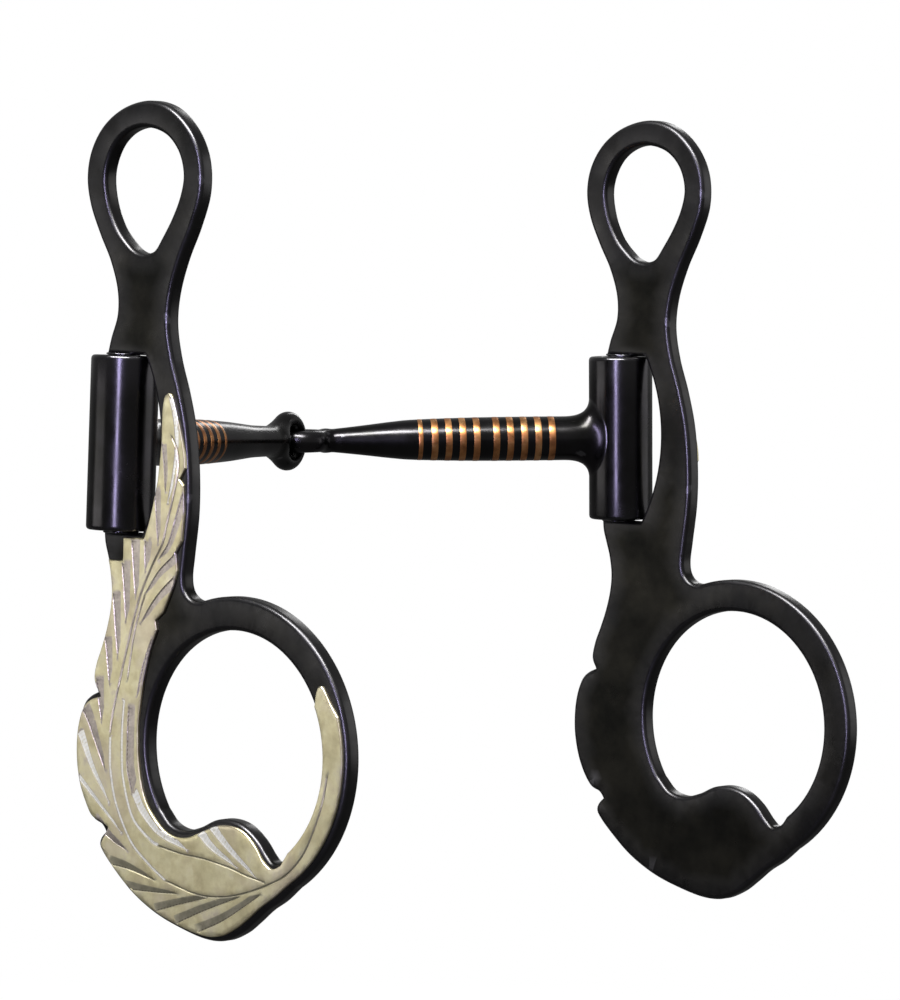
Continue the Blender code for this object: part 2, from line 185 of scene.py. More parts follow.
def cheek_outline():
    front_and_eye = spline([
        (-3.3, WINDOW_HALF), (-2.4, 20.9), (-0.8, 25.5), (-1.0, 30.5), (-3.0, 36.0), (-6.0, 41.2),
        (-8.8, 47.0), (-9.9, 52.6), (-8.8, 58.1), (-5.4, 63.0), (0.0, 66.4), (6.8, 67.8),
        (13.2, 66.3), (18.4, 62.0), (21.3, 56.4), (21.6, 49.8), (19.3, 43.1), (16.2, 36.7),
        (14.0, 30.2), (13.4, 24.0), (14.7, 17.4), (17.1, 10.6), (19.1, 3.2), (20.1, -5.0),
        (20.2, -13.0), (19.3, -21.0), (18.8, -25.6), (19.5, -28.3), (21.6, -29.8), (24.0, -29.9),
    ])
    ring = arc(RING_CENTRE, RING_OUTER, 107, -56)
    swirl = spline([
        (50.0, -83.4), (46.2, -86.6), (42.6, -88.9), (39.3, -91.6), (35.9, -94.1), (31.5, -96.0),
        (26.5, -96.2), (20.0, -94.9), (13.0, -92.7), (6.5, -89.3), (1.0, -84.9), (-2.2, -81.7),
        (-2.9, -80.1), (-2.3, -78.7), (-1.2, -77.7),
    ])
    lower_leaf = spline([
        (-1.2, -77.7), (-2.4, -76.4), (-4.7, -75.4), (-6.9, -72.5), (-8.6, -68.6), (-9.6, -64.0),
        (-9.7, -59.5), (-9.1, -55.6), (-7.8, -52.4), (-6.2, -50.9), (-4.1, -49.9),
    ])
    upper_leaf = spline([
        (-4.1, -49.9), (-4.9, -48.6), (-5.2, -47.0), (-4.5, -44.0), (-3.2, -40.8), (-1.9, -37.2),
        (-0.9, -33.2), (-0.6, -29.4), (-1.2, -25.6), (-2.2, -22.5), (-3.0, -20.0),
        (-3.3, -WINDOW_HALF),
    ])
    return closed(front_and_eye, ring, swirl, lower_leaf, upper_leaf, window_curve())


def eye_hole():
    return closed(spline([
        (6.9, 37.6), (9.2, 38.4), (11.2, 41.0), (13.8, 45.0), (15.8, 49.3), (16.5, 53.5),
        (15.0, 57.9), (11.4, 61.2), (6.2, 62.5), (1.4, 61.5), (-2.4, 58.4), (-4.4, 53.3),
        (-3.6, 47.7), (-1.2, 42.8), (2.2, 39.4), (4.6, 38.0), (6.9, 37.6),
    ]))


def ring_hole():
    round_part = arc(RING_CENTRE, RING_INNER, -52, 214)
    floor = spline([
        (13.7, -71.6), (16.6, -74.3), (20.4, -75.3), (24.6, -74.3), (28.6, -72.5), (32.6, -72.0),
        (36.6, -72.9), (40.0, -75.2), (42.6, -78.0), (44.4, -79.3), (46.3, -78.8), (47.6, -77.2),
    ])
    return closed(round_part, floor)


def overlay_outline():
    tip = spline([
        (12.0, -7.0), (12.8, 0.0), (12.9, 5.6), (13.3, 9.3), (14.4, 10.4), (15.6, 9.8),
        (17.0, 6.2), (18.2, 2.6), (19.2, -1.4), (19.5, -4.0),
    ])
    back_edge = [
        (18.0, -6.3), (19.1, -7.4), (19.4, -13.0), (18.9, -18.4), (17.4, -20.9), (17.9, -24.3),
        (17.0, -27.2), (14.2, -32.9), (12.2, -34.5), (12.6, -36.3),
    ]
    beside_hole = spline([
        (12.6, -36.3), (10.5, -41.5), (8.9, -48.4), (8.0, -56.0), (8.5, -64.0), (10.5, -70.4),
        (14.4, -74.9), (18.0, -76.6), (22.0, -76.5), (26.0, -74.9), (30.0, -73.4), (34.0, -73.1),
        (37.4, -74.1), (40.2, -76.4), (42.4, -79.2), (44.6, -80.4), (46.8, -79.5),
    ])
    inner_arc = arc(RING_CENTRE, RING_INNER + OVERLAY_MARGIN, -50, 26)
    ring_tip = spline([(54.8, -48.0), (55.1, -45.6), (55.7, -44.2), (56.6, -43.9), (57.6, -45.0),
                       (59.2, -47.4), (60.9, -49.5)])
    outer_arc = arc(RING_CENTRE, RING_OUTER - 2 * OVERLAY_MARGIN, 18, -55)
    swirl = spline([
        (48.6, -83.3), (45.4, -85.8), (41.8, -88.2), (38.6, -90.8), (35.4, -93.1), (31.3, -95.0),
        (26.5, -95.4), (20.2, -94.2), (13.3, -92.0), (7.0, -88.7), (1.6, -84.4), (-1.2, -81.4),
        (-1.7, -80.0), (-0.6, -78.1), (0.2, -76.6),
    ])
    lower_leaf = spline([
        (0.2, -76.6), (-2.2, -75.6), (-4.5, -74.7), (-6.3, -72.1), (-8.0, -68.4), (-8.9, -64.0),
        (-9.0, -59.5), (-8.4, -55.9), (-7.2, -53.1), (-5.4, -51.6), (-2.6, -50.7),
    ])
    upper_leaf = spline([
        (-2.6, -50.7), (-3.9, -48.6), (-4.4, -46.9), (-3.9, -44.2), (-2.6, -41.0), (-1.3, -37.3),
        (-0.3, -33.2), (0.0, -29.4), (-0.5, -25.6), (-1.1, -23.2),
    ])
    step = [(2.9, -23.2), (2.9, -18.5), (8.6, -18.5)]
    window_edge = spline([(8.6, -18.5), (10.2, -14.0), (12.0, -7.0)])
    return closed(tip, straight(back_edge), beside_hole, inner_arc, ring_tip, outer_arc, swirl,
                  lower_leaf, upper_leaf, straight(step), window_edge)


# Engraved cuts of the feather: points (back, up), then the shape of the cut: its depth, the
# width of its steep side, and of its gentle side at the first and last point. The gentle side
# lies to the left of the direction of travel. The last entry is the light painted into the
# cut's colour: painted shade, painted half shade (lilac grey) or a painted glint.
PAINTED_SHADE, PAINTED_HALF_SHADE, PAINTED_GLINT = -1.0, 0.5, 1.0
QUILLS = [
    ([(15.5, 2.3), (17.3, -0.8), (17.6, -4.7), (16.4, -10.0), (14.9, -15.2), (13.8, -19.2),
      (11.5, -23.0), (8.2, -29.3), (6.2, -35.1), (4.2, -42.0), (2.4, -48.6), (1.0, -54.0),
      (0.3, -58.3)], 0.18, 0.28, 0.30, 0.30, PAINTED_SHADE),
    ([(0.3, -58.3), (0.3, -62.0), (0.6, -65.6), (2.3, -71.8), (6.5, -78.8), (11.5, -82.8),
      (16.3, -85.7)], 0.03, 0.26, 0.44, 0.36, PAINTED_GLINT),
    ([(16.3, -85.7), (24.5, -87.4), (31.3, -87.3), (37.9, -85.8), (44.4, -83.3), (48.8, -80.9),
      (53.0, -76.5), (56.0, -70.5), (57.7, -65.8), (58.8, -60.5)],
     0.14, 0.24, 0.28, 0.20, PAINTED_SHADE),
    ([(9.4, -29.3), (7.1, -35.5), (5.7, -42.0), (4.9, -47.0)], 0.12, 0.22, 0.26, 0.22, PAINTED_SHADE),
    ([(4.0, -51.0), (3.6, -56.0), (3.6, -61.6), (4.2, -67.0), (6.9, -74.1), (11.9, -78.1),
      (14.3, -79.0)], 0.03, 0.22, 0.36, 0.50, PAINTED_GLINT),
    ([(14.3, -79.0), (20.2, -79.9), (26.6, -80.3), (33.4, -81.3), (38.0, -82.4), (43.0, -83.2)],
     0.14, 0.24, 0.28, 0.28, PAINTED_SHADE),
]
BARBS = [
    ([(13.2, 0.5), (13.9, -4.0), (14.3, -9.0)], 0.08, 0.20, 1.2, 0.5, PAINTED_HALF_SHADE),
    ([(11.4, -8.6), (12.0, -14.0), (12.6, -19.4)], 0.09, 0.20, 1.7, 0.6, PAINTED_HALF_SHADE),
    ([(9.0, -18.9), (9.2, -25.0)], 0.10, 0.20, 2.0, 0.9, PAINTED_HALF_SHADE),
    ([(5.4, -18.9), (6.0, -24.5), (6.7, -30.4)], 0.11, 0.20, 2.3, 0.9, PAINTED_HALF_SHADE),
    ([(2.9, -23.6), (3.5, -29.0), (4.2, -35.2)], 0.11, 0.20, 2.3, 0.9, PAINTED_HALF_SHADE),
    ([(0.5, -29.8), (1.2, -35.8), (2.1, -42.4)], 0.11, 0.20, 2.1, 0.8, PAINTED_HALF_SHADE),
    ([(-1.5, -38.6), (-0.8, -43.0), (-0.1, -48.0)], 0.11, 0.20, 2.0, 0.8, PAINTED_HALF_SHADE),
    ([(-3.7, -47.2), (-3.0, -51.4), (-2.0, -55.8)], 0.11, 0.20, 2.1, 0.8, PAINTED_HALF_SHADE),
    ([(-7.6, -53.6), (-5.6, -56.4), (-0.8, -65.4)], 0.11, 0.20, 2.5, 0.6, PAINTED_HALF_SHADE),
    ([(-8.5, -58.7), (-4.8, -65.1), (0.4, -71.5)], 0.03, 0.20, 1.8, 0.3, PAINTED_GLINT),
    ([(-8.3, -67.5), (-3.6, -71.3), (4.0, -77.3)], 0.03, 0.20, 0.9, 0.3, PAINTED_GLINT),
    ([(-3.6, -75.9), (1.0, -78.9), (5.8, -80.8)], 0.10, 0.20, 2.0, 0.6, PAINTED_HALF_SHADE),
    ([(0.8, -84.0), (6.0, -84.4), (13.5, -85.9)], 0.16, 0.22, 1.9, 0.4, PAINTED_SHADE),
    ([(5.6, -88.4), (12.0, -88.3), (19.8, -87.9)], 0.14, 0.22, 1.7, 0.4, PAINTED_SHADE),
    ([(13.6, -92.0), (20.6, -89.8), (27.8, -87.8)], 0.16, 0.22, 1.5, 0.9, PAINTED_SHADE),
    ([(19.4, -93.8), (27.0, -90.4), (36.4, -86.7)], 0.17, 0.22, 1.6, 0.9, PAINTED_SHADE),
    ([(25.7, -94.7), (32.8, -91.4), (42.0, -85.6)], 0.17, 0.22, 1.6, 0.9, PAINTED_SHADE),
    ([(25.2, -75.7), (28.6, -78.2), (35.6, -81.0)], 0.03, 0.20, 1.9, 0.3, PAINTED_GLINT),
    ([(28.2, -74.2), (33.2, -78.0), (40.9, -82.6)], 0.03, 0.20, 1.8, 0.3, PAINTED_GLINT),
    ([(5.4, -52.0), (5.2, -58.0), (5.3, -64.2), (6.8, -69.4)], 0.08, 0.20, 1.7, 2.1, PAINTED_HALF_SHADE),
    ([(6.8, -69.4), (9.4, -73.0), (14.4, -76.8), (22.0, -78.9)], 0.03, 0.20, 1.8, 0.9, PAINTED_GLINT),
    ([(15.0, 9.4), (16.3, 5.0), (16.8, 0.0), (16.2, -5.5), (15.0, -11.0)],
     0.05, 0.18, 1.2, 0.4, PAINTED_GLINT),
    ([(18.9, -9.0), (17.2, -14.0), (15.4, -19.0), (12.8, -22.4)], 0.12, 0.20, 2.0, 0.6, PAINTED_HALF_SHADE),
    ([(18.3, -19.6), (16.6, -21.6), (12.9, -24.8), (9.2, -29.6)], 0.12, 0.20, 1.8, 0.5, PAINTED_HALF_SHADE),
    ([(17.1, -25.6), (13.6, -28.6), (10.9, -31.6), (8.4, -35.2)], 0.14, 0.20, 1.8, 0.5, PAINTED_HALF_SHADE),
    ([(11.4, -38.0), (9.0, -44.0), (7.6, -50.0)], 0.10, 0.20, 1.6, 0.6, PAINTED_HALF_SHADE),
]
BROAD_CUT = 0.6            # cuts that start wider than this close over their last stretch
CLOSING_RUN = 3.0
TOOTH_PITCH = 0.85         # the tool's chatter marks along a cut
RIB_PITCH = 0.75           # fine ribs across a cut


# -------- flat work with relief

def nearest(points, a, b):
    """For each point: distance to the closest of the segments a-b, that segment, and t on it."""
    span = b - a
    length2 = np.maximum((span ** 2).sum(1), 1e-12)
    best, which, where = [], [], []
    for start in range(0, len(points), 500):
        p = points[start:start + 500, None, :]
        t = (((p - a) * span).sum(2) / length2).clip(0, 1)
        gap = np.hypot(*np.moveaxis(p - a - t[..., None] * span, 2, 0))
        i = gap.argmin(1)
        rows = np.arange(len(i))
        best.append(gap[rows, i])
        which.append(i)
        where.append(t[rows, i])
    return np.concatenate(best), np.concatenate(which), np.concatenate(where)


def segments(loops):
    """The two ends of every edge of the loops."""
    starts = np.concatenate([np.array(loop, float) for loop in loops])
    ends = np.concatenate([np.roll(np.array(loop, float), -1, 0) for loop in loops])
    return starts, ends


def inside(points, loops):
    """Even-odd test of each point against the loops."""
    a, b = segments(loops)
    odd = np.zeros(len(points), bool)
    for start in range(0, len(points), 1000):
        p = points[start:start + 1000]
        x, y = p[:, 0, None], p[:, 1, None]
        crosses = (a[:, 1] > y) != (b[:, 1] > y)
        rise = np.where(a[:, 1] == b[:, 1], 1.0, b[:, 1] - a[:, 1])
        at = a[:, 0] + (y - a[:, 1]) / rise * (b[:, 0] - a[:, 0])
        odd[start:start + 1000] = (crosses & (x < at)).sum(1) % 2 == 1
    return odd


def inset(loop, distance, walls):
    """The loop moved inwards by a distance, less the parts that would come too near an edge."""
    p = np.array(loop, float)
    into = p - np.roll(p, 1, 0)
    out = np.roll(p, -1, 0) - p
    into /= np.linalg.norm(into, axis=1)[:, None]
    out /= np.linalg.norm(out, axis=1)[:, None]
    side = np.stack([-into[:, 1] - out[:, 1], into[:, 0] + out[:, 0]], 1)
    half = np.linalg.norm(side, axis=1) / 2
    moved = p + side / (2 * half)[:, None] * (distance / np.maximum(half, 0.6))[:, None]
    return moved[nearest(moved, *walls)[0] > distance * 0.985]


def thin(points, taken, spacing):
    """The points that keep the spacing from those taken and from each other."""
    cells = {}
    for p in taken:
        cells.setdefault((int(p[0] // spacing), int(p[1] // spacing)), []).append(p)
    kept = []
    for p in points:
        i, j = int(p[0] // spacing), int(p[1] // spacing)
        near = (q for u in (i - 1, i, i + 1) for v in (j - 1, j, j + 1)
                for q in cells.get((u, v), ()))
        if all((p[0] - q[0]) ** 2 + (p[1] - q[1]) ** 2 > spacing ** 2 for q in near):
            cells.setdefault((i, j), []).append(p)
            kept.append(p)
    return kept


def flat_mesh(outer, holes, steps, fill, lines=(), beside=()):
    """Triangles over the area between the loops, with rows of points at the given distances
    inside every edge, along the lines and beside them. Returns the points, the triangles and
    each point's distance from the edge."""
    loops = [counter_clockwise(outer)] + [counter_clockwise(h)[::-1] for h in holes]
    walls = segments(loops)
    points, edges = [], []

    def add(chain, is_loop):
        first = len(points)
        points.extend((float(p[0]), float(p[1])) for p in chain)
        last = len(points) - 1
        edges.extend((k, k + 1) for k in range(first, last))
        if is_loop:
            edges.append((last, first))

    for loop in loops:
        add(loop, True)
        for distance in steps:
            row = inset(loop, distance, walls)
            if len(row) > 3:
                add(row, True)
    for line in lines:
        line = np.array(line, float)
        deep = (nearest(line, *walls)[0] > steps[-1] * 0.6) & inside(line, loops)
        runs = np.split(np.arange(len(line)), np.nonzero(np.diff(deep.astype(int)))[0] + 1)
        for run in runs:
            if deep[run[0]] and len(run) > 1:
                add(line[run], False)
    for group, spacing in [(beside, 0.16), (honeycomb(outer, fill), fill * 0.55)]:
        group = np.array(group, float).reshape(-1, 2)
        if not len(group):
            continue
        group = group[inside(group, loops)]
        group = group[nearest(group, *walls)[0] > steps[-1] + spacing * 0.6]
        points.extend(thin([tuple(p) for p in group], points, spacing))
    made = delaunay_2d_cdt([Vector(p) for p in points], edges, [], 0, 1e-5, False)
    flat = np.array([tuple(v) for v in made[0]], float)
    faces = np.array(made[2], int)
    faces = faces[inside(flat[faces].mean(1), loops)]
    used = np.unique(faces)
    new = np.full(len(flat), -1)
    new[used] = np.arange(len(used))
    flat = flat[used]
    return flat, new[faces], nearest(flat, *walls)[0]


def honeycomb(loop, pitch):
    """Points of a triangular grid over the loop's box."""
    low, high = np.array(loop).min(0), np.array(loop).max(0)
    grid = []
    for row, h in enumerate(np.arange(low[1], high[1], pitch * 0.866)):
        for b in np.arange(low[0] + (row % 2) * pitch / 2, high[0], pitch):
            grid.append((b, h))
    return grid


def facing_out(mesh, bm=None):
    """Turn every face of the mesh outwards, taking its faces from bm where that is given."""
    if bm is None:
        bm = bmesh.new()
        bm.from_mesh(mesh)
    bmesh.ops.recalc_face_normals(bm, faces=bm.faces)
    bm.to_mesh(mesh)
    bm.free()
    return mesh


def slab(name, flat, faces, front, back, place, extra=None):
    """A closed solid across X whose faces stand at the front and back distances."""
    count = len(flat)
    x, y, z = place
    y, z = y - flat[:, 0] * MM, z + flat[:, 1] * MM
    xyz = np.concatenate([np.stack([x + side * MM, y, z], 1) for side in (front, back)])
    sides = np.concatenate([faces[:, [0, 1]], faces[:, [1, 2]], faces[:, [2, 0]]])
    _, first, seen = np.unique(np.sort(sides, 1), axis=0, return_index=True, return_counts=True)
    rim = sides[first[seen == 1]]
    polygons = [tuple(f) for f in faces] + [tuple(f[::-1] + count) for f in faces]
    polygons += [(b, a, a + count, b + count) for a, b in rim]
    mesh = bpy.data.meshes.new(name)
    mesh.from_pydata(xyz.tolist(), [], [tuple(int(i) for i in f) for f in polygons])
    for key, values in (extra or {}).items():
        layer = mesh.attributes.new(key, "FLOAT", "POINT")
        layer.data.foreach_set("value", np.concatenate([values, values * 0]).astype(np.float32))
    facing_out(mesh)
    mesh.validate()
    return mesh


def rounding(distance, radius):
    """How far a rounded edge falls below the face at a distance from the outline."""
    inner = (radius - distance).clip(0, radius)
    return radius - np.sqrt(radius ** 2 - inner ** 2)


def quarter_steps(radius, count):
    """Distances of the rows of points that share a quarter round evenly."""
    return [radius * (1 - math.cos(math.radians(90 * k / count))) for k in range(1, count + 1)]


def closing(wide_first, rest):
    """The share of its width that a cut keeps with the rest of its length still to run."""
    return np.minimum(1, rest / CLOSING_RUN + 0.12) if wide_first > BROAD_CUT else 1.0


def cuts_relief(flat, cuts):
    """Depth of the engraving at each point, closeness to a cut's root, length along the cut and
    the value of the light painted on the cut, which is 0 outside all of them: -1 for painted
    shade, 0.5 for painted half shade and 1 for a painted glint."""
    depth, close, along, shading = (np.zeros(len(flat)) for _ in range(4))
    for line, deepest, steep, wide_first, wide_last, painted_light in cuts:
        p = np.array(spline(line, 0.25), float)
        gap, which, where = nearest(flat, p[:-1], p[1:])
        lengths = np.linalg.norm(p[1:] - p[:-1], axis=1)
        run = np.concatenate([[0], np.cumsum(lengths)])
        place = run[which] + where * lengths[which]
        share = place / run[-1]
        a, b = p[which], p[which + 1]
        ahead, away = b - a, flat - a
        left = ahead[:, 0] * away[:, 1] - ahead[:, 1] * away[:, 0] > 0
        wide = np.where(left, wide_first + (wide_last - wide_first) * share, steep)
        wide = wide * closing(wide_first, run[-1] - place)
        ends = np.minimum(1, np.minimum(place, run[-1] - place) / 1.2 + 0.15)
        beyond = (where <= 0) & (which == 0) | (where >= 1) & (which == len(p) - 2)
        wide = np.where(beyond, 0.25, wide)
        fall = (1 - gap / wide).clip(0, 1)
        teeth = 1 + 0.15 * np.cos(2 * math.pi * place / TOOTH_PITCH) * (gap < 0.5)
        cut = deepest * ends * fall * (teeth if painted_light == PAINTED_HALF_SHADE else 1)
        deeper = cut > depth
        depth = np.where(deeper, cut, depth)
        close = np.where(deeper, fall, close)
        along = np.where(deeper, place, along)
        shading = np.where(deeper & (fall > 0.02), painted_light, shading)
    return depth, close, along, shading


def points_for_cuts(cuts):
    """Points along each cut, and points beside it where its slopes begin, cross and end."""
    lines, beside = [], []
    for line, _, steep, wide_first, wide_last, _ in cuts:
        p = np.array(spline(line, 0.3), float)
        lines.append(p)
        run = np.gradient(p, axis=0)
        run /= np.linalg.norm(run, axis=1)[:, None]
        left = np.stack([-run[:, 1], run[:, 0]], 1)
        share = np.linspace(0, 1, len(p))[:, None]
        rest = (1 - share) * np.linalg.norm(np.diff(p, axis=0), axis=1).sum()
        wide = (wide_first + (wide_last - wide_first) * share) * closing(wide_first, rest)
        for offset in (-steep, wide - 0.05, wide + 0.12, wide * 0.66, wide * 0.33, -steep * 2):
            beside += (p + left * offset).tolist()
    return lines, beside


# -------- round work

def revolve(name, profile, matrix, sides, close=False):
    """A solid turned about the matrix's Z axis from (radius, height) millimetres."""
    angles = np.linspace(0, 2 * math.pi, sides, endpoint=False)
    rings = [np.stack([r * np.cos(angles), r * np.sin(angles), np.full(sides, h)], 1)
             for r, h in profile]
    return skin(name, rings, matrix, close, not close)


def skin(name, rings, matrix, close=False, caps=True):
    """Faces between rings of points, which are in millimetres in the matrix's frame."""
    sides = len(rings[0])
    points = np.concatenate(rings) * MM
    turn = np.array(matrix.to_3x3())
    points = points @ turn.T + np.array(matrix.translation)
    faces = []
    pairs = list(range(len(rings) - 1)) + ([-1] if close else [])
    for k in pairs:
        low, high = (k % len(rings)) * sides, ((k + 1) % len(rings)) * sides
        for i in range(sides):
            j = (i + 1) % sides
            faces.append((low + i, low + j, high + j, high + i))
    if caps:
        faces.append(tuple(range(sides))[::-1])
        faces.append(tuple(range((len(rings) - 1) * sides, len(rings) * sides)))
    mesh = bpy.data.meshes.new(name)
    mesh.from_pydata(points.tolist(), [], faces)
    return facing_out(mesh)


def eased(corners, count=5):
    """Profile points with each corner rounded: corners are (radius, height, ease)."""
    profile = []
    for k, (r, h, ease) in enumerate(corners):
        here = Vector((r, h))
        before = Vector(corners[k - 1][:2])
        after = Vector(corners[(k + 1) % len(corners)][:2])
        a = here + (before - here).normalized() * ease
        b = here + (after - here).normalized() * ease
        for t in np.linspace(0, 1, count + 1):
            point = a * (1 - t) ** 2 + here * 2 * t * (1 - t) + b * t ** 2
            profile.append((point.x, point.y))
    return profile


def arm_radius(side, distance):
    """Radius of the arm at a distance from the bar's axis."""
    places, radii = zip(*spline(ARM_SHAPE[side], 0.5))
    return np.interp(distance, places, radii)


def inlay_stations(side):
    """Distance from the bar's axis and width of each copper ring, from the sleeve inwards."""
    stations = []
    for k in range(INLAY_COUNT[side]):
        extra = INLAY_BREAK if k >= INLAY_GROUP else 0.0
        width = INLAY_WIDTH if k else INLAY_LAST_WIDTH
        stations.append((INLAY_LAST[side] - k * INLAY_PITCH - extra, width))
    return stations[::-1]


def arm_rings(side, sides=96):
    """The arm from inside its sleeve, over the flared foot, to the seam before the eye."""
    turn = np.linspace(0, 2 * math.pi, sides, endpoint=False)
    cos, sin = np.cos(turn), np.sin(turn)

    def ring_at(place):
        r = float(arm_radius(side, place))
        return np.stack([np.full(sides, place), r * cos, r * sin], 1)

    radius = SLEEVE_R - FOOT_SUNK
    wrap = math.radians(FOOT_WRAP)
    theta = wrap * cos
    rim = np.stack([radius * np.cos(theta), radius * np.sin(theta), FOOT_HEIGHT * sin], 1)
    out = np.stack([-np.sin(theta) * cos * radius * wrap, np.cos(theta) * cos * radius * wrap,
                    FOOT_HEIGHT * sin], 1)
    out /= np.linalg.norm(out, axis=1)[:, None]
    inwards = np.stack([-np.cos(theta), -np.sin(theta), 0 * theta], 1)
    p0 = ring_at(FOOT_START)
    p1 = p0 - np.array([FOOT_SWEEP, 0, 0])
    p2 = rim - out * FOOT_SWEEP
    rings = [rim + out * 0.1 + inwards * 1.2, rim + out * 0.15 + inwards * 0.15]
    for t in np.linspace(1, 0, 15):
        rings.append(p0 * (1 - t) ** 3 + 3 * p1 * t * (1 - t) ** 2 + 3 * p2 * t ** 2 * (1 - t)
                     + rim * t ** 3)
    rings += [ring_at(place) for place in np.arange(FOOT_START + 0.5, NECK_SEAM + 0.01, 0.5)]
    rings.append(ring_at(NECK_SEAM))
    return rings


def eye_field(p, side):
    """Signed distance, in millimetres, to the eye and the neck that flows into it.
    The left eye stands upright and the right one lies level."""
    x, y, z = p[:, 0], p[:, 1], p[:, 2]
    flat, across = (z, y) if side == "left" else (y, z)
    depth = EYE_DEPTH[side] / EYE_WIRE
    wire = np.hypot(np.hypot(x - EYE_AT, flat) - EYE_R, across / depth) - EYE_WIRE
    reach = x.clip(None, NECK_END[side])
    neck = np.hypot(np.hypot(y, z), x - reach) - arm_radius(side, reach)
    blend = EYE_BLEND[side]
    mix = (0.5 + 0.5 * (neck - wire) / blend).clip(0, 1)
    return neck * (1 - mix) + wire * mix - blend * mix * (1 - mix)


def field_slope(p, side, step=0.01):
    """How fast the eye's field rises along each axis."""
    slope = np.zeros_like(p)
    for k in range(3):
        shift = np.zeros(3)
        shift[k] = step
        slope[:, k] = (eye_field(p + shift, side) - eye_field(p - shift, side)) / (2 * step)
    return slope


def rough_eye(name, side, around=48, across_wire=16):
    """A neck and a ring that overlap, remeshed into one skin."""
    bm = bmesh.new()
    middle = NECK_SEAM + 1
    along = Matrix.Translation((middle * MM, 0, 0)) @ Matrix.Rotation(math.pi / 2, 4, "Y")
    near, far = (float(arm_radius(side, middle + step)) * MM for step in (-4, 4))
    bmesh.ops.create_cone(bm, cap_ends=True, segments=32, radius1=near, radius2=far,
                          depth=8 * MM, matrix=along)
    rows = []
    for a in np.linspace(0, 2 * math.pi, around, endpoint=False):
        row = []
        for b in np.linspace(0, 2 * math.pi, across_wire, endpoint=False):
            r = EYE_R + EYE_WIRE * math.cos(b)
            flat, across = r * math.sin(a), EYE_WIRE * math.sin(b)
            y, z = (across, flat) if side == "left" else (flat, across)
            row.append(bm.verts.new(((EYE_AT + r * math.cos(a)) * MM, y * MM, z * MM)))
        rows.append(row)
    for row, after in zip(rows, rows[1:] + rows[:1]):
        for i in range(across_wire):
            j = (i + 1) % across_wire
            bm.faces.new((row[i], row[j], after[j], after[i]))
    rough = facing_out(bpy.data.meshes.new(name + "_rough"), bm)
    holder = bpy.data.objects.new(name + "_rough", rough)
    bpy.context.scene.collection.objects.link(holder)
    remesh = holder.modifiers.new("remesh", "REMESH")
    remesh.mode = "VOXEL"
    remesh.voxel_size = EYE_VOXEL * MM
    graph = bpy.context.evaluated_depsgraph_get()
    mesh = bpy.data.meshes.new_from_object(holder.evaluated_get(graph))
    bpy.data.objects.remove(holder)
    return mesh


def eye_end(name, matrix, side):
    """The forged eye beyond the seam: a coarse skin drawn onto the field's surface."""
    mesh = rough_eye(name, side)
    bm = bmesh.new()
    bm.from_mesh(mesh)
    for _ in range(3):
        bmesh.ops.smooth_vert(bm, verts=bm.verts, factor=0.5, use_axis_x=True, use_axis_y=True,
                              use_axis_z=True)
    points = np.array([v.co for v in bm.verts]) / MM
    for _ in range(8):
        value = eye_field(points, side)
        slope = field_slope(points, side)
        points -= (value / np.maximum((slope ** 2).sum(1), 0.2))[:, None] * slope
    for vert, p in zip(bm.verts, points):
        vert.co = Vector(p) * MM
    bmesh.ops.bisect_plane(bm, geom=bm.verts[:] + bm.edges[:] + bm.faces[:], dist=1e-8,
                           plane_co=(NECK_SEAM * MM, 0, 0), plane_no=(1, 0, 0), clear_inner=True)
    facing_out(mesh, bm)
    points = np.array([v.co for v in mesh.vertices]) / MM
    normals = field_slope(points, side)
    normals /= np.linalg.norm(normals, axis=1)[:, None]
    turn = np.array(matrix.to_3x3())
    mesh.transform(matrix)
    mesh.shade_smooth()
    mesh.normals_split_custom_set_from_vertices((normals @ turn.T).tolist())
    return mesh


# -------- pieces

def piece(name, mesh, body, shading, nodes=(), sharp=None):
    """Link a finished mesh as a piece of the object that rides on a body. Edges that turn by
    more than the sharp angle, in degrees, stay crisp."""
    mesh.materials.clear()
    mesh.materials.append(shading)
    if sharp is not None:
        mesh.shade_smooth()
        if sharp < 180:
            mesh.set_sharp_from_angle(angle=math.radians(sharp))
    thing = bpy.data.objects.new(name, mesh)
    bpy.context.scene.collection.objects.link(thing)
    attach(thing, body)
    if nodes:
        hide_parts(*nodes)


def centre_of(node):
    """Middle of a CAD node's box."""
    low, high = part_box(node)
    return (low + high) / 2


def build_plate(side, body, place, steel):
    flat, faces, distance = flat_mesh(cheek_outline(), [eye_hole(), ring_hole()],
                                      quarter_steps(PLATE_ROUND, 5), PLATE_FILL)
    height = PLATE_T / 2 - rounding(distance, PLATE_ROUND)
    mesh = slab(side + "_plate", flat, faces, height, -height, place)
    piece(side + "_cheek_plate", mesh, body, steel, [side + "_cheek"], 50)


def build_bar(side, body, place, steel, weld, sides=64):
    """The round bar that closes the window, with a small uneven weld bead at each end."""
    length = WINDOW_HALF + 0.05
    matrix = Matrix.Translation(place)
    rod = revolve(side + "_rod", [(BAR_R, -length), (BAR_R, 0), (BAR_R, length)], matrix, sides)
    piece(side + "_bar_rod", rod, body, steel, [side + "_bar"], 50)
    angles = np.linspace(0, 2 * math.pi, sides, endpoint=False)
    for end, sign in (("top", 1), ("foot", -1)):
        rings = []
        swell = 1 + 0.16 * np.cos(angles * 11 + sign) + 0.1 * np.cos(angles * 5 + 2)
        for turn in np.linspace(0, 2 * math.pi, 14, endpoint=False):
            r = BAR_R + WELD * swell * math.cos(turn)
            z = sign * (WINDOW_HALF + WELD_OUT) + WELD * WELD_FLAT * swell * math.sin(turn)
            rings.append(np.stack([r * np.cos(angles), r * np.sin(angles), z], 1))
        bead = skin(f"{side}_weld_{end}", rings, matrix, close=True, caps=False)
        piece(f"{side}_weld_{end}", bead, body, weld, (), 180)


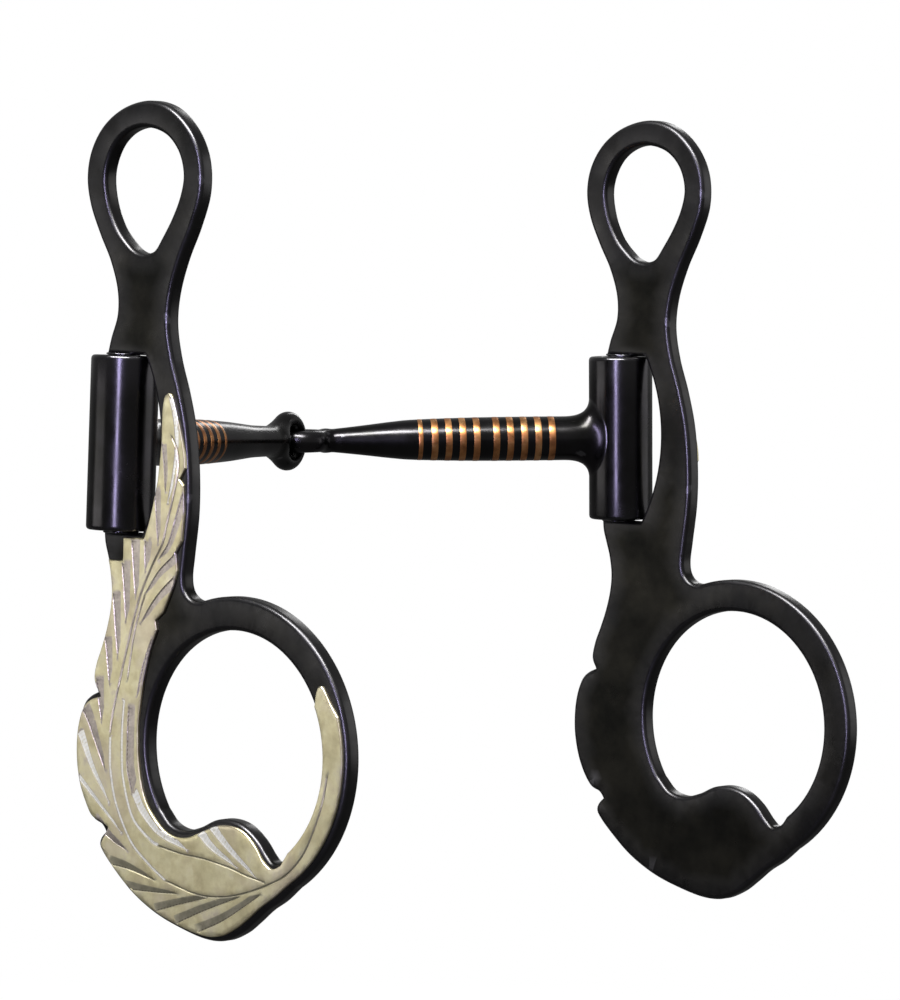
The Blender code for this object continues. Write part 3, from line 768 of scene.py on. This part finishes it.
def build_feather(side, body, place, outward, silver):
    """The engraved overlay on the cheek's outer face."""
    flat, faces, distance = flat_mesh(overlay_outline(), [], quarter_steps(OVERLAY_ROUND, 3),
                                      OVERLAY_FILL, *points_for_cuts(QUILLS + BARBS))
    depth, close, along, shading = cuts_relief(flat, QUILLS + BARBS)
    half = PLATE_T / 2
    face = half + OVERLAY_T - rounding(distance, OVERLAY_ROUND) - depth
    back = np.full(len(flat), half - OVERLAY_SUNK)
    # Each point also carries the cuts' painted shade, half shade and glints for the material.
    mesh = slab(side + "_overlay", flat, faces, outward * face, outward * back, place,
                {"close": close, "along": along, "shading": shading})
    piece(side + "_feather_overlay", mesh, body, silver, [side + "_feather"], 16)


def build_cheek(side, outward, steel, silver, weld):
    """One cheek. outward is -1 for the left one and +1 for the right one."""
    body = side + "_cheek_body"
    place = centre_of(side + "_bar")
    build_plate(side, body, place, steel)
    build_bar(side, body, place, steel, weld)
    build_feather(side, body, place, outward, silver)


def build_sleeve(side, body, matrix, steel):
    profile = eased([
        (SLEEVE_BORE, -SLEEVE_HALF, BORE_ROUND), (SLEEVE_R, -SLEEVE_HALF, SLEEVE_ROUND),
        (SLEEVE_R, SLEEVE_HALF, SLEEVE_ROUND), (SLEEVE_BORE, SLEEVE_HALF, BORE_ROUND),
    ])
    half_way = len(profile) // 2
    outside = [(SLEEVE_R, h) for h in (-9, 0, 9)]
    profile = profile[:half_way] + outside + profile[half_way:]
    mesh = revolve(side + "_tube", profile, matrix, 112, close=True)
    piece(side + "_sleeve_tube", mesh, body, steel, [side + "_sleeve"], 60)


def build_arm(side, body, matrix, steel):
    mesh = skin(side + "_shaft", arm_rings(side), matrix, caps=False)
    piece(side + "_arm_shaft", mesh, body, steel, [side + "_arm"], 45)
    mesh = eye_end(side + "_eye_end", matrix, side)
    piece(side + "_arm_eye", mesh, body, steel)


def build_inlays(side, body, matrix, copper):
    """The copper rings let into the arm, each with a slightly crowned face."""
    lengthwise = matrix @ Matrix.Rotation(math.pi / 2, 4, "Y")
    for number, (distance, width) in enumerate(inlay_stations(side), 1):
        half = width / 2
        root = float(arm_radius(side, distance)) - INLAY_DEPTH
        rows = [(root, -half)]
        for t in np.linspace(-1, 1, 9):
            crown = INLAY_CROWN * (1 - abs(t) ** 3)
            surface = float(arm_radius(side, distance + half * t))
            rows.append((surface - INLAY_EDGE + crown, half * t))
        rows.append((root, half))
        rows = [(r, h + distance) for r, h in rows]
        mesh = revolve(f"{side}_ring", rows, lengthwise, 112, close=True)
        piece(f"{side}_copper_ring_{number:02d}", mesh, body, copper,
              [f"{side}_inlay_{number:02d}"], 50)


def build_mouth_half(side, joint, steel, copper):
    """One half of the mouthpiece, in a frame whose X axis runs from its bar to the joint."""
    body = side + "_mouth"
    place = centre_of(side + "_bar")
    ahead = (joint - place).normalized()
    across = Vector((0, 0, 1)).cross(ahead).normalized()
    matrix = Matrix((ahead, across, ahead.cross(across))).transposed().to_4x4()
    matrix.translation = place
    build_sleeve(side, body, matrix, steel)
    build_arm(side, body, matrix, steel)
    build_inlays(side, body, matrix, copper)


# -------- materials

class Nodes:
    """Short ways to make the nodes of one material."""

    def __init__(self, name):
        self.material = bpy.data.materials.new(name)
        self.material.use_nodes = True
        self.tree = self.material.node_tree
        self.shader = self.tree.nodes["Principled BSDF"]
        self.place = self.add("ShaderNodeTexCoord").outputs["Object"]

    def add(self, kind, **inputs):
        node = self.tree.nodes.new(kind)
        for key, value in inputs.items():
            node.inputs[key].default_value = value
        return node

    def link(self, a, b):
        self.tree.links.new(a, b)

    def scaled(self, scale):
        node = self.add("ShaderNodeMapping")
        node.inputs["Scale"].default_value = scale
        self.link(self.place, node.inputs["Vector"])
        return node.outputs["Vector"]

    def noise(self, scale, detail=4.0, rough=0.55, stretch=(1, 1, 1)):
        node = self.add("ShaderNodeTexNoise", Scale=scale, Detail=detail, Roughness=rough)
        self.link(self.scaled(stretch), node.inputs["Vector"])
        return node.outputs["Fac"]

    def ramp(self, value, *stops):
        node = self.add("ShaderNodeValToRGB")
        while len(node.color_ramp.elements) < len(stops):
            node.color_ramp.elements.new(0.5)
        for element, (position, colour) in zip(node.color_ramp.elements, stops):
            element.position = position
            element.color = (*colour, 1)
        self.link(value, node.inputs["Fac"])
        return node.outputs["Color"]

    def grey(self, value, *stops):
        return self.ramp(value, *[(p, (v, v, v)) for p, v in stops])

    def wave(self, along, pitch):
        """Between 0 and 1, once for each pitch."""
        sine = self.math("SINE", self.math("MULTIPLY", along, 2 * math.pi / pitch))
        return self.math("ADD", self.math("MULTIPLY", sine, 0.5), 0.5)

    def mix(self, factor, a, b):
        """Colour a, turning into colour b as the factor rises."""
        node = self.add("ShaderNodeMix")
        node.data_type = "RGBA"
        self.link(factor, node.inputs[0])
        for value, socket in ((a, node.inputs[6]), (b, node.inputs[7])):
            if isinstance(value, bpy.types.NodeSocket):
                self.link(value, socket)
            else:
                socket.default_value = (*value, 1)
        return node.outputs[2]

    def math(self, kind, a, b=0.0):
        node = self.add("ShaderNodeMath")
        node.operation = kind
        self.link(a, node.inputs[0])
        if isinstance(b, bpy.types.NodeSocket):
            self.link(b, node.inputs[1])
        else:
            node.inputs[1].default_value = b
        return node.outputs[0]

    def bump(self, height, strength, distance, after=None):
        node = self.add("ShaderNodeBump", Strength=strength, Distance=distance)
        self.link(height, node.inputs["Height"])
        if after is not None:
            self.link(after, node.inputs["Normal"])
        return node.outputs["Normal"]

    def attribute(self, name):
        node = self.add("ShaderNodeAttribute")
        node.attribute_name = name
        return node.outputs["Fac"]

    def worn_edge(self):
        """1 along convex edges, 0 on flats and in hollows."""
        node = self.add("ShaderNodeNewGeometry")
        return self.grey(node.outputs["Pointiness"], (0.50, 0.0), (0.56, 1.0))


def blued_steel(name, deep, sheen, rough):
    """Oil-blued steel: near black, with a drifting sheen, paler worn edges and fine polishing."""
    n = Nodes(name)
    drift = n.noise(85, 4.0, 0.6)
    fine = n.noise(900, 5.0, 0.6)
    base = n.mix(n.grey(drift, (0.38, 0.0), (0.64, 1.0)), deep, sheen)
    worn = n.mix(n.worn_edge(), base, (0.11, 0.108, 0.115))
    n.link(worn, n.shader.inputs["Base Color"])
    n.shader.inputs["Metallic"].default_value = 1.0
    smear = n.noise(120, 6.0, 0.65)
    n.link(n.grey(smear, (0.3, rough - 0.05), (0.72, rough + 0.10)), n.shader.inputs["Roughness"])
    grain = n.bump(fine, 0.10, 0.00006)
    wave = n.bump(n.noise(45, 2.0), 0.25, 0.0005, grain)
    n.link(wave, n.shader.inputs["Normal"])
    return n.material


def german_silver(name):
    """Nickel-silver overlay: cream faces, and cuts with painted shade, painted half shade or a
    painted glint. The shading value is 0 in cuts with painted shade, 0.5 on the faces, 0.75 in
    cuts with painted half shade and 1 in cuts with a painted glint."""
    n = Nodes(name)
    close = n.attribute("close")
    along = n.attribute("along")
    shading = n.math("ADD", n.math("MULTIPLY", n.attribute("shading"), 0.5), 0.5)
    half_shade_share = n.grey(shading, (0.5, 0.0), (0.7, 1.0))
    glint_share = n.grey(shading, (0.8, 0.0), (0.95, 1.0))
    cloud = n.noise(190, 5.0, 0.62)
    cream = n.ramp(cloud, (0.30, (0.52, 0.46, 0.28)), (0.46, (0.66, 0.60, 0.37)),
                   (0.58, (0.76, 0.71, 0.47)), (0.72, (0.63, 0.57, 0.45)))
    drift = n.noise(85, 3.0, 0.6)
    cream = n.mix(n.grey(drift, (0.50, 0.0), (0.66, 0.5)), cream, (0.62, 0.54, 0.44))
    cream = n.mix(n.grey(drift, (0.34, 0.4), (0.46, 0.0)), cream, (0.54, 0.50, 0.31))
    ribs = n.wave(along, RIB_PITCH)
    speckle = n.noise(900, 3.0, 0.7)
    # Painted half shade: lilac grey in place of the duller reflection of the cuts' slopes.
    half_shade_colour = n.mix(n.grey(speckle, (0.35, 0.0), (0.65, 1.0)), (0.43, 0.38, 0.34), (0.60, 0.54, 0.48))
    # Painted glint: near white with sparkle, in place of a highlight; fine ribs break it up.
    glint_colour = n.mix(n.grey(speckle, (0.30, 0.3), (0.42, 1.0)), cream, (1.0, 1.0, 0.97))
    glint_colour = n.mix(n.math("MULTIPLY", ribs, 0.2), glint_colour, cream)
    # Painted shade: darker grey for cuts whose slopes face away from the light.
    shade_colour = n.mix(n.grey(speckle, (0.3, 0.0), (0.7, 1.0)), (0.42, 0.40, 0.29), (0.56, 0.52, 0.38))
    colour = n.mix(n.grey(shading, (0.0, 1.0), (0.5, 0.0)), cream, shade_colour)
    colour = n.mix(half_shade_share, colour, half_shade_colour)
    colour = n.mix(glint_share, colour, glint_colour)
    # Painted shade along the root of each cut, broken by the tool's chatter marks; the cuts with a
    # painted glint go without it.
    root = n.math("MULTIPLY", n.grey(close, (0.82, 0.0), (0.97, 1.0)),
                  n.grey(shading, (0.80, 1.0), (0.95, 0.0)))
    tooth = n.grey(n.wave(along, TOOTH_PITCH), (0.2, 0.25), (0.8, 0.9))
    colour = n.mix(n.math("MULTIPLY", root, tooth), colour, (0.13, 0.11, 0.09))
    n.link(colour, n.shader.inputs["Base Color"])
    n.shader.inputs["Metallic"].default_value = 1.0
    rough = n.grey(n.noise(300, 5.0, 0.6), (0.3, 0.30), (0.7, 0.44))
    n.link(rough, n.shader.inputs["Roughness"])
    worked = n.math("MULTIPLY", ribs, n.grey(close, (0.25, 0.0), (0.7, 1.0)))
    worked = n.math("MULTIPLY", worked, n.grey(shading, (0.8, 1.0), (0.95, 0.3)))
    first = n.bump(worked, 0.22, 0.00003)
    marks = n.bump(n.noise(1500, 4.0, 0.6, (1, 1, 0.25)), 0.16, 0.00005, first)
    n.link(n.bump(n.noise(180, 3.0), 0.30, 0.00018, marks), n.shader.inputs["Normal"])
    return n.material


def copper_ring(name):
    """Copper inlay, polished with the arm and lightly tarnished."""
    n = Nodes(name)
    cloud = n.noise(260, 4.0, 0.6)
    base = n.ramp(cloud, (0.30, (0.34, 0.13, 0.05)), (0.52, (0.62, 0.27, 0.10)),
                  (0.70, (0.80, 0.44, 0.19)))
    n.link(base, n.shader.inputs["Base Color"])
    n.shader.inputs["Metallic"].default_value = 1.0
    n.link(n.grey(n.noise(500, 4.0), (0.3, 0.24), (0.7, 0.40)), n.shader.inputs["Roughness"])
    n.link(n.bump(n.noise(1400, 4.0), 0.12, 0.00005), n.shader.inputs["Normal"])
    return n.material


def seen_and_unseen(tree, seen, unseen):
    """One shader where the view meets a surface directly, another in reflections."""
    path = tree.nodes.new("ShaderNodeLightPath")
    mix = tree.nodes.new("ShaderNodeMixShader")
    tree.links.new(path.outputs["Is Camera Ray"], mix.inputs[0])
    tree.links.new(unseen, mix.inputs[1])
    tree.links.new(seen, mix.inputs[2])
    return mix.outputs[0]


def glow(tree, kind, level):
    """A white emission or background node of the given strength."""
    node = tree.nodes.new(kind)
    node.inputs["Color"].default_value = (1, 1, 1, 1)
    node.inputs["Strength"].default_value = level
    return node.outputs[0]


def floor_material():
    """Pale floor that takes soft shadows near the object and runs into the white surround."""
    made = bpy.data.materials.new("pale_floor")
    made.use_nodes = True
    tree = made.node_tree
    shader = tree.nodes["Principled BSDF"]
    shader.inputs["Base Color"].default_value = (0.86, 0.86, 0.86, 1)
    shader.inputs["Roughness"].default_value = 0.9
    shader.inputs["Specular IOR Level"].default_value = 0.0
    place = tree.nodes.new("ShaderNodeTexCoord")
    length = tree.nodes.new("ShaderNodeVectorMath")
    length.operation = "LENGTH"
    spread = tree.nodes.new("ShaderNodeMapRange")
    spread.inputs["From Min"].default_value = FLOOR_SEEN
    spread.inputs["From Max"].default_value = FLOOR_GONE
    spread.interpolation_type = "SMOOTHSTEP"
    mix = tree.nodes.new("ShaderNodeMixShader")
    tree.links.new(place.outputs["Object"], length.inputs[0])
    tree.links.new(length.outputs["Value"], spread.inputs["Value"])
    tree.links.new(spread.outputs["Result"], mix.inputs[0])
    tree.links.new(shader.outputs[0], mix.inputs[1])
    tree.links.new(glow(tree, "ShaderNodeEmission", SURROUND), mix.inputs[2])
    dim = glow(tree, "ShaderNodeEmission", FLOOR_REFLECTED)
    both = seen_and_unseen(tree, mix.outputs[0], dim)
    tree.links.new(both, tree.nodes["Material Output"].inputs["Surface"])
    return made


# -------- stage, light and view

# Metres and degrees. A direction is an azimuth and an elevation, given as for the views.
SURROUND = 1.0             # brightness where the view meets the surround
SURROUND_REFLECTED = 0.28  # and in the object's reflections
FLOOR_REFLECTED = 0.10
FLOOR_RADIUS = 12.0
FLOOR_DROP = 0.11          # floor below the object's lowest point
FLOOR_PLACE = (0.061, -0.02)
FLOOR_SEEN, FLOOR_GONE = 0.2, 0.6  # the floor fades into the surround between these
CAMERA_PLACE = Vector((-0.6778, -0.6581, -0.0173))
CAMERA_TURN = -49.52
CAMERA_RISE = 3.33
CAMERA_ROLL = 1.32
SENSOR = 36                # height of the sensor, millimetres
LENS = 171.7               # focal length, millimetres


def build_stage(low):
    """The floor below the object's lowest point, and the white surround."""
    made = bpy.data.meshes.new("floor")
    bm = bmesh.new()
    bmesh.ops.create_circle(bm, cap_ends=True, segments=96, radius=FLOOR_RADIUS)
    bm.to_mesh(made)
    bm.free()
    floor = bpy.data.objects.new("floor", made)
    made.materials.append(floor_material())
    floor.location = (*FLOOR_PLACE, low - FLOOR_DROP)
    bpy.context.scene.collection.objects.link(floor)
    world = bpy.data.worlds.new("surround")
    world.use_nodes = True
    tree = world.node_tree
    both = seen_and_unseen(tree, glow(tree, "ShaderNodeBackground", SURROUND),
                           glow(tree, "ShaderNodeBackground", SURROUND_REFLECTED))
    tree.links.new(both, tree.nodes["World Output"].inputs["Surface"])
    bpy.context.scene.world = world


def direction(azimuth, elevation):
    """Unit vector from the object towards a direction."""
    a, e = math.radians(azimuth), math.radians(elevation)
    return Vector((math.sin(a) * math.cos(e), -math.cos(a) * math.cos(e), math.sin(e)))


def softbox(name, azimuth, elevation, distance, wide, tall, power, target, tint=(1, 1, 1)):
    """A rectangular light aimed at the target from a direction."""
    away = direction(azimuth, elevation)
    data = bpy.data.lights.new(name, "AREA")
    data.shape = "RECTANGLE"
    data.size, data.size_y = wide, tall
    data.energy = power
    data.color = tint
    lamp = bpy.data.objects.new(name, data)
    lamp.location = target + away * distance
    lamp.rotation_euler = away.to_track_quat("Z", "Y").to_euler()
    lamp.visible_camera = False
    bpy.context.scene.collection.objects.link(lamp)


def build_camera():
    away = direction(CAMERA_TURN, CAMERA_RISE)
    turn, roll = math.radians(CAMERA_TURN), math.radians(CAMERA_ROLL)
    right = Vector((math.cos(turn), math.sin(turn), 0))
    up = away.cross(right)
    right, up = (right * math.cos(roll) + up * math.sin(roll),
                 up * math.cos(roll) - right * math.sin(roll))
    data = bpy.data.cameras.new("camera")
    data.sensor_fit = "VERTICAL"
    data.sensor_height = SENSOR
    data.lens = LENS
    data.clip_start = 0.01
    camera = bpy.data.objects.new("camera", data)
    camera.matrix_world = Matrix((right, up, away)).transposed().to_4x4()
    camera.location = CAMERA_PLACE
    bpy.context.scene.collection.objects.link(camera)
    bpy.context.scene.camera = camera


def main():
    steel = blued_steel("blued_steel_flat", (0.0095, 0.0095, 0.0085), (0.020, 0.019, 0.016), 0.30)
    arm = blued_steel("blued_steel_turned", (0.020, 0.0195, 0.018), (0.029, 0.027, 0.030), 0.20)
    silver = german_silver("german_silver_engraved")
    copper = copper_ring("copper_inlay")
    bend = next(j for j in frame["joints"] if j["name"] == "mouth_bend")
    build_cheek("left", -1, steel, silver, arm)
    build_cheek("right", 1, steel, silver, arm)
    for side in ("left", "right"):
        build_mouth_half(side, Vector(bend["pos_m"]), arm, copper)

    build_stage(CAD_BOX[0][2])
    middle = (Vector(CAD_BOX[0]) + Vector(CAD_BOX[1])) / 2
    softbox("tall_key", CAMERA_TURN - 18.4, 4, 1.3, 0.13, 1.2, 18.0, middle, (0.66, 0.60, 1.0))
    softbox("high_front", CAMERA_TURN - 27, 58, 1.3, 1.1, 0.28, 48.0, middle)
    softbox("face_panel", CAMERA_TURN - 81, -19, 1.5, 1.0, 1.15, 7.0, middle, (1.0, 0.985, 0.96))
    softbox("rear_strip", CAMERA_TURN + 165, 25, 1.4, 0.2, 1.0, 2.5, middle)
    softbox("far_panel", CAMERA_TURN + 99, 5, 1.6, 0.9, 1.2, 4.0, middle)
    bpy.context.scene.view_settings.view_transform = "Standard"
    build_camera()


main()
